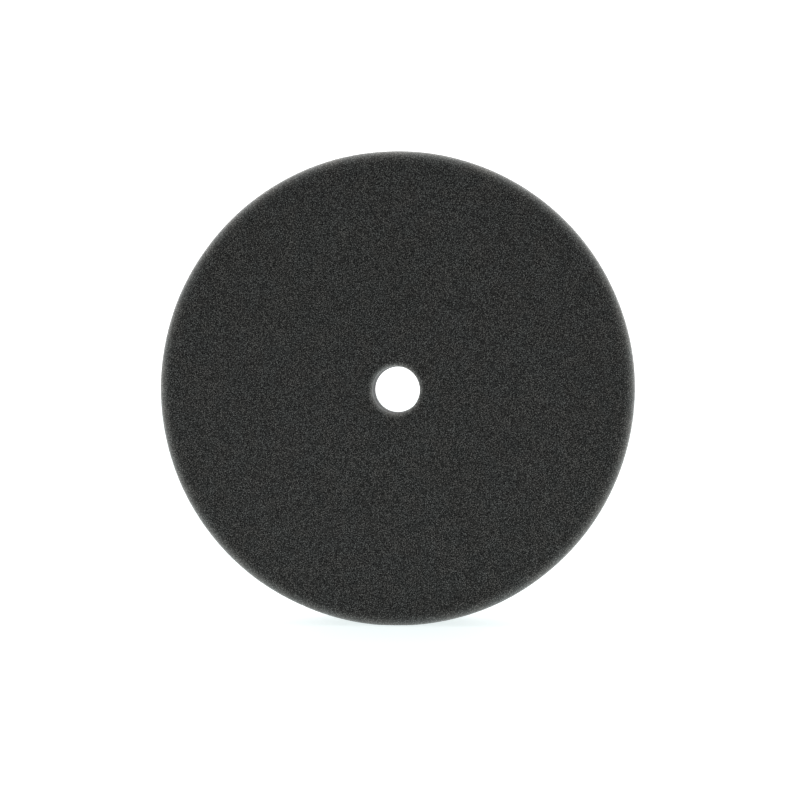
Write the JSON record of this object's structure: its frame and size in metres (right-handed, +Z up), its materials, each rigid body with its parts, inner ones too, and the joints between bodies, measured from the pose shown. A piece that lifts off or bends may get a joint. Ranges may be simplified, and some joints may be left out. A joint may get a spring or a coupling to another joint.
{
  "type": "polishing pad",
  "caption": "Round flat-faced foam pad with a centre hole and a hook-and-loop backing, for polishing car paint on a dual-action polisher.",
  "frame": {"origin": "on the floor, under the middle of the pad standing on its rim", "axes": "+Z up, +Y along the pad's axis from the working face to the loop backing, +X to the right when the working face is looked at"},
  "size_m": [0.15, 0.025, 0.1498],
  "materials": {
    "open_cell_foam": "fine open-cell polyurethane foam, charcoal black, fully matt, with a paler fuzzy rim",
    "hot_melt_film": "thin hot-melt adhesive, cream, slightly uneven at its edge",
    "knitted_ground": "black warp-knitted ground cloth",
    "nylon_loops": "black brushed nylon loop pile with a soft sheen"
  },
  "bodies": {
    "root": {"foam_disc": "open_cell_foam", "bonding_film": "hot_melt_film", "loop_backing_cloth": "knitted_ground", "loop_pile": "nylon_loops"}
  },
  "joints": []
}
